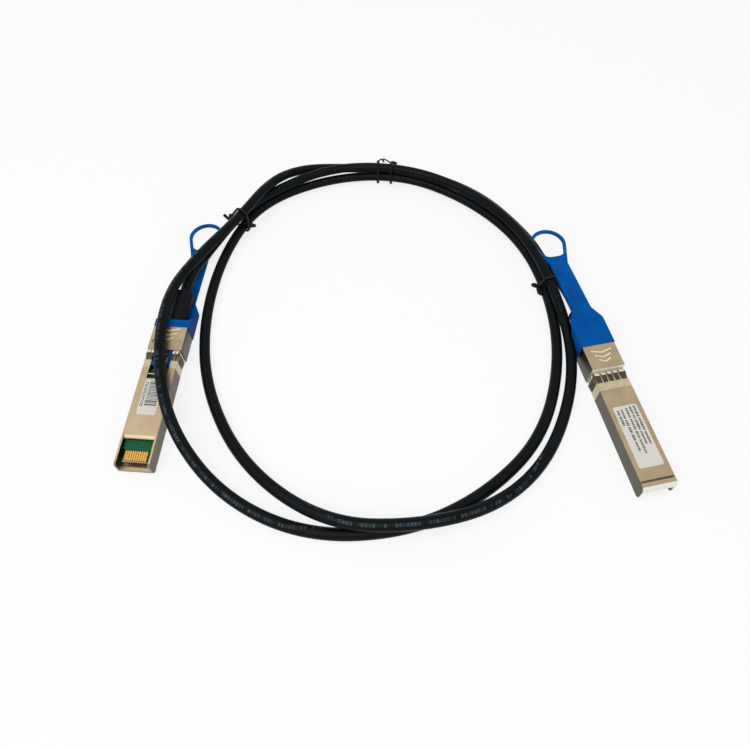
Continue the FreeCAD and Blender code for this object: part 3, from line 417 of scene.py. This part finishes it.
line = bpy.data.curves.new("cable", "CURVE")
line.dimensions = "3D"
spline = line.splines.new("NURBS")
spline.points.add(len(route) - 1)
for point, (x, y, z) in zip(spline.points, route):
    point.co = (x / 1000, y / 1000, z / 1000, 1)
spline.order_u = 3
spline.use_endpoint_u = True
spline.resolution_u = 12
cable = bpy.data.objects.new("cable", line)
bpy.context.scene.collection.objects.link(cable)
bpy.context.view_layer.update()
centreline = [v.co.copy() for v in bpy.data.meshes.new_from_object(cable).vertices]
line.bevel_depth = radius
line.bevel_resolution = 8
line.use_fill_caps = True

# Extruded plastic: clouds of about 11 mm, a sheen that changes over 3 mm and a grain of 0.4 mm,
# coarser than the real one so that it shows.
jacket = finish("black plastic cable jacket", ("#04070A", "#0B1014"), 11.1, (0.3, 0.42),
                wear=3.33, pits=(0.4, 0.1, 0.05), detail=3.0, specular=0.08)
# Pale ink marks are plain blocks, 1.2 mm by 1.7 mm, in words of 11 mm.  Their line lies on top
# along two stretches of the cable and turns under it between them.  Places along the cable and
# round it are shares of its length and girth.
length, girth = 1.329, 0.01414
mark_length, mark_height, mark_gap, word_length = 0.0012, 0.0017, 0.14, 0.011
on_top, half_turn, half_row, half_word, centred = 0.14, 0.5, 0.06, 0.41, 0.5
place = node(jacket, "ShaderNodeTexCoord").outputs["UV"]
wrap = node(jacket, "ShaderNodeSeparateXYZ", [("Vector", place)]).outputs
turned = node(jacket, "ShaderNodeValToRGB", [("Fac", wrap["X"])])
stops = turned.color_ramp.elements
stops[0].color, stops[1].color = (1, 1, 1, 1), (0, 0, 0, 1)
for at, under in ((0.235, 1), (0.26, 0), (0.31, 0), (0.335, 1), (0.645, 1), (0.668, 0)):
    stops.new(at).color = (under, under, under, 1)
level = node(jacket, "ShaderNodeMath", [(0, turned.outputs["Color"])],
             [(1, half_turn), (2, on_top)], operation="MULTIPLY_ADD")
off = node(jacket, "ShaderNodeMath", [(0, wrap["Y"]), (1, level.outputs[0])],
           operation="SUBTRACT").outputs[0]
spot = node(jacket, "ShaderNodeCombineXYZ", [("X", wrap["X"]), ("Y", off)])
grid = node(jacket, "ShaderNodeMapping", [("Vector", spot.outputs[0])],
            [("Location", (0, centred, 0)),
             ("Scale", (length / mark_length, girth / mark_height, 1))])
letter = node(jacket, "ShaderNodeTexBrick", [("Vector", grid.outputs[0])],
              [("Color1", (1, 1, 1, 1)), ("Color2", (0, 0, 0, 1)), ("Mortar", (0, 0, 0, 1)),
               ("Scale", 1.0), ("Mortar Size", mark_gap), ("Mortar Smooth", 0.0),
               ("Brick Width", 1.0), ("Row Height", 1.0)], offset=0.0)
row = node(jacket, "ShaderNodeMath", [(0, off)], [(1, 0.0), (2, half_row)], operation="COMPARE")
words = node(jacket, "ShaderNodeMath", [(0, wrap["X"])], [(1, length / word_length)],
             operation="MULTIPLY")
along_word = node(jacket, "ShaderNodeMath", [(0, words.outputs[0])], operation="FRACT")
word = node(jacket, "ShaderNodeMath", [(0, along_word.outputs[0])],
            [(1, centred), (2, half_word)], operation="COMPARE")
in_row = node(jacket, "ShaderNodeMath", [(0, row.outputs[0]), (1, word.outputs[0])],
              operation="MULTIPLY")
inked = node(jacket, "ShaderNodeMath", [(0, in_row.outputs[0]), (1, letter.outputs["Color"])],
             operation="MULTIPLY")
covered(jacket, inked.outputs[0], "#3C474D")
dress(cable, jacket)
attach(cable, "cable_assembly")
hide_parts("cable_jacket")

# ---------------------------------------------------------------- ties
# Stiff plastic-coated wire, wrapped round the strands and twisted shut by hand.  The left tie
# ends in a twisted stub, the top one in two thin loops, the right one in a flat loop and a nub.

# The coat is extruded plastic, black with patches of about 1 mm, a little glossier than rubber.
coating = finish("black plastic wire coating", ("#0C0E11", "#15181C"), 1.11, (0.35, 0.5),
                 specular=0.12)
wire_radius, air, wander, bundle_reach, turn_points = 0.0006, 0.0002, 0.00018, 0.016, 40


def apart(a, b):
    """How far two points are from each other as seen from above."""
    return math.hypot(a.x - b.x, a.y - b.y)


def strands_at(spot, run, held):
    """Where the centreline crosses the plane through spot, square to run: the nearest few."""
    found = []
    for a, b in zip(centreline, centreline[1:]):
        before, after = (a - spot).dot(run), (b - spot).dot(run)
        if (before < 0) != (after < 0) and apart(a, spot) < bundle_reach:
            found.append(a.lerp(b, before / (before - after)))
    return sorted(found, key=lambda p: apart(p, spot))[:held]


def wire(name, points, thick, closed=False):
    """A coated wire of radius thick along points, as a curve."""
    shape = bpy.data.curves.new(name, "CURVE")
    shape.dimensions = "3D"
    run = shape.splines.new("NURBS")
    run.points.add(len(points) - 1)
    for point, spot in zip(run.points, points):
        point.co = (*spot, 1)
    run.order_u = 3
    run.use_cyclic_u = closed
    run.use_endpoint_u = not closed
    shape.bevel_depth, shape.bevel_resolution, shape.use_fill_caps = thick, 4, True
    made = bpy.data.objects.new(name, shape)
    bpy.context.scene.collection.objects.link(made)
    return made


def made_tie(name, x, y, heading, held, steps, ends):
    """One turn per step along the strands, and ends as (radius, points in across, along, up)."""
    run = Vector((math.cos(heading), math.sin(heading), 0))
    across, up, parts = Vector((run.y, -run.x, 0)), Vector((0, 0, 1)), []
    for step in steps:
        spot = Vector((x + run.x * step, y + run.y * step, 0))
        strands = strands_at(spot, run, held)
        height = (sum(strands, Vector()) / len(strands)).z
        middle = Vector((spot.x, spot.y, height))
        turn = []
        for k in range(turn_points):
            angle = k * math.tau / turn_points
            out = across * math.cos(angle) + up * math.sin(angle)
            furthest = max(strands, key=lambda p: (p - middle).dot(out))
            # The wire wanders a little along the strands, as one wound by hand does.
            sway = wander * math.sin(k * 0.9 + step * 300)
            turn.append(furthest + out * (radius + wire_radius + air) + run * sway)
        parts.append(wire(name + "_turn", turn, wire_radius, True))
    for thick, points in ends:
        spots = [Vector((x, y, 0)) + (across * a + run * b + up * c) / 1000 for a, b, c in points]
        parts.append(wire(name + "_end", spots, thick))
    bpy.ops.object.select_all(action="DESELECT")
    for part in parts:
        part.select_set(True)
    bpy.context.view_layer.objects.active = parts[0]
    bpy.ops.object.convert(target="MESH")
    bpy.ops.object.join()
    piece = bpy.context.object
    piece.name = "wire_" + name
    bpy.ops.object.shade_smooth_by_angle(angle=math.radians(50))
    dress(piece, coating)
    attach(piece, "cable_assembly")
    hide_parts(name)
    return piece


# Ends of the ties as (radius in metres, points in millimetres).
stub = (0.00075, [(-4.3, 0.1, 7.6), (-4.2, -0.6, 5.8), (-4.4, -1.2, 4.9), (-6.4, -0.7, 5.0),
                  (-8.3, -0.3, 5.2)])
inner_loop = (0.0008, [(4.2, -0.2, 6.6), (6.4, 0.2, 7.0), (8.6, 1.0, 6.0), (8.4, 2.2, 4.4),
                       (6.4, 2.0, 3.2), (4.6, 1.0, 2.6)])
first_loop = (0.00035, [(-3.6, 0.0, 6.6), (-4.6, 0.6, 7.0), (-5.5, 1.3, 7.2), (-5.1, 2.2, 7.0),
                        (-3.6, 2.9, 6.8)])
second_loop = (0.00035, [(-3.6, 3.0, 6.8), (-5.7, 2.3, 7.2), (-5.5, 3.3, 7.2), (-4.5, 4.8, 6.9),
                         (-3.4, 6.3, 6.6)])
outer_nub = (0.0008, [(-3.4, 6.8, 6.6), (-4.3, 7.9, 6.4), (-3.3, 9.6, 5.8)])
inner_nub = (0.0008, [(5.4, 6.7, 4.8), (6.6, 7.6, 4.2), (6.4, 9.0, 3.8), (4.8, 9.8, 3.8)])
flat_loop = (0.0006, [(2.8, 0.0, 5.2), (4.0, -0.8, 5.6), (5.2, -1.2, 5.8), (6.0, -0.7, 5.8),
                      (5.2, -0.1, 5.7), (4.0, 0.3, 5.3), (2.8, 0.3, 4.9)])
side_nub = (0.0007, [(2.4, 1.2, 4.6), (3.8, 2.0, 4.6), (3.6, 3.2, 4.2), (2.2, 3.3, 3.6)])
ties = [
    made_tie("left_tie", -0.0729, 0.0645, math.radians(60), 3, [0.0], [stub, inner_loop]),
    made_tie("top_tie", -0.005, 0.1001, math.radians(-1), 3, [0.0, 0.0067],
             [first_loop, second_loop, outer_nub, inner_nub]),
    made_tie("right_tie", 0.0697, 0.0262, math.radians(-82), 2, [0.0], [flat_loop, side_nub])]

# ---------------------------------------------------------------- floor, light and camera
# White paper sweep under an even studio light, with one large soft lamp over the left shoulder.
# The sweep and the room show plain white, and light the object at a plain level.


def looked_at(owner):
    """1 where the camera sees a surface itself, in a mirror or through glass, and 0 elsewhere."""
    ray = node(owner, "ShaderNodeLightPath").outputs
    direct = node(owner, "ShaderNodeMath", [(0, ray["Is Camera Ray"]), (1, ray["Is Glossy Ray"])],
                  operation="MAXIMUM").outputs[0]
    return node(owner, "ShaderNodeMath", [(0, direct), (1, ray["Is Transmission Ray"])],
                operation="MAXIMUM").outputs[0]


bpy.ops.object.select_all(action="DESELECT")
bpy.ops.mesh.primitive_plane_add(size=8, location=(0, 0, 0))
floor = bpy.context.object
floor.name = "floor"
white = new_material("white paper sweep")
# A fifth of what the camera sees is paper that takes light, and holds the object's shadow.
seen = node(white, "ShaderNodeMath", [(0, looked_at(white))], [(1, 0.8)], operation="MULTIPLY")
lit = node(white, "ShaderNodeBsdfDiffuse", [], [("Color", linear("#FBFBFB"))])
plain = node(white, "ShaderNodeEmission", [], [("Color", linear("#FFFFFF")), ("Strength", 1.0)])
both = node(white, "ShaderNodeMixShader",
            [("Fac", seen.outputs[0]), (1, lit.outputs[0]), (2, plain.outputs[0])])
node(white, "ShaderNodeOutputMaterial", [("Surface", both.outputs[0])])
dress(floor, white)
world = bpy.data.worlds.new("studio")
bpy.context.scene.world = world
world.use_nodes = True
world.node_tree.nodes.clear()
room = node(world, "ShaderNodeBackground", [], [("Color", linear("#FFFFFF")), ("Strength", 0.55)])
sky = node(world, "ShaderNodeBackground", [], [("Color", linear("#FFFFFF")), ("Strength", 1.0)])
both = node(world, "ShaderNodeMixShader",
            [("Fac", looked_at(world)), (1, room.outputs[0]), (2, sky.outputs[0])])
node(world, "ShaderNodeOutputWorld", [("Surface", both.outputs[0])])
lamp = bpy.data.lights.new("overhead softbox", "AREA")
lamp.shape, lamp.size, lamp.energy = "DISK", 0.9, 3.8
overhead = bpy.data.objects.new("overhead softbox", lamp)
overhead.location = (-0.22, -0.30, 0.75)
overhead.rotation_euler = (-overhead.location).to_track_quat("-Z", "Y").to_euler()
bpy.context.scene.collection.objects.link(overhead)

camera = bpy.data.cameras.new("camera")
camera.sensor_width, camera.lens, camera.shift_y = 36.0, 32.88, -0.2
viewer = bpy.data.objects.new("camera", camera)
viewer.location = (-0.0066, -0.1530, 0.256)
viewer.rotation_euler = (math.radians(40.6), 0, 0)
bpy.context.scene.collection.objects.link(viewer)
bpy.context.scene.camera = viewer
bpy.context.scene.view_settings.view_transform = "Standard"
